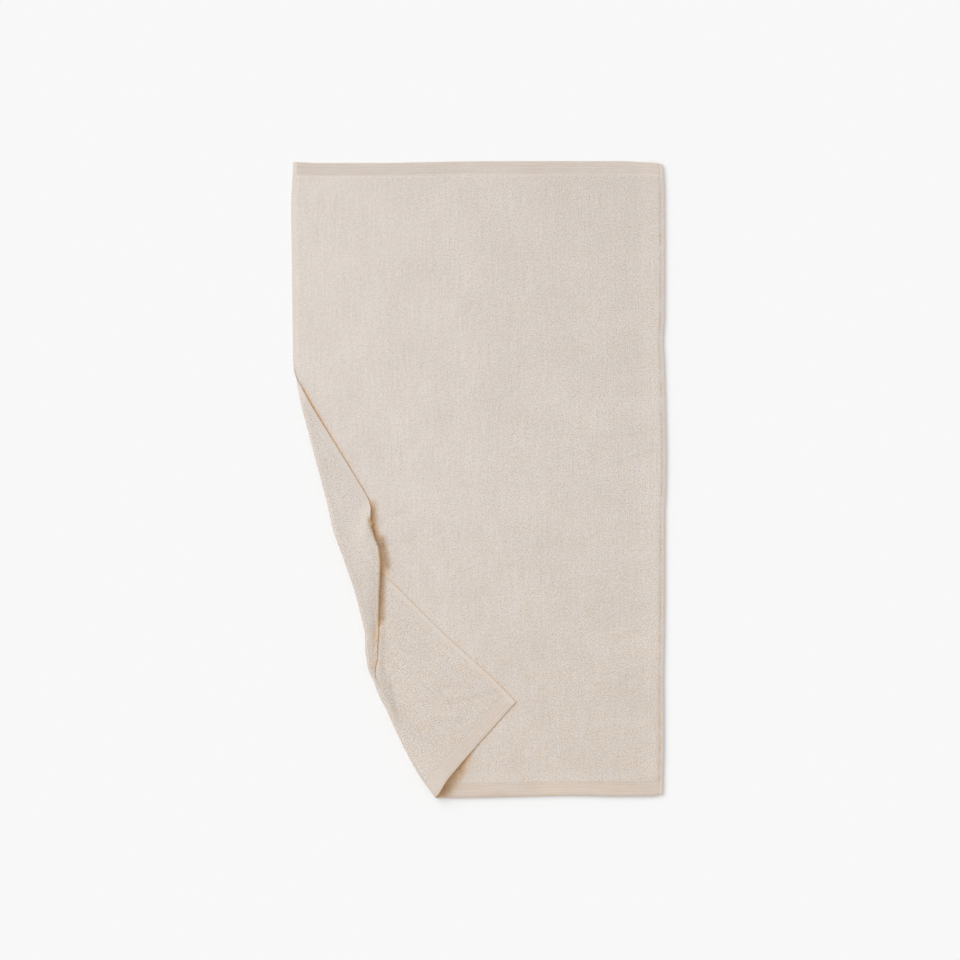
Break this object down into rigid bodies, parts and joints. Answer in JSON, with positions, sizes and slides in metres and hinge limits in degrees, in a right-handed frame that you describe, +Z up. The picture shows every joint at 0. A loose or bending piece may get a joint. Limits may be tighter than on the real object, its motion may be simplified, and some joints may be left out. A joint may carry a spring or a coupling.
{
  "type": "bath towel",
  "caption": "Rectangular cotton terry bath towel that lies flat, with its lower left corner turned over in one soft fold that has a small pleat.",
  "frame": {"origin": "middle of what the towel covers, on the surface that it lies on", "axes": "+X across the towel to its right edge as pictured, +Y along its length to its top edge, +Z up from the surface that it lies on"},
  "size_m": [0.7044, 1.2032, 0.027],
  "materials": {
    "terry": "short looped pile, warm beige"
  },
  "bodies": {
    "root": {"towel": "terry"}
  },
  "joints": []
}
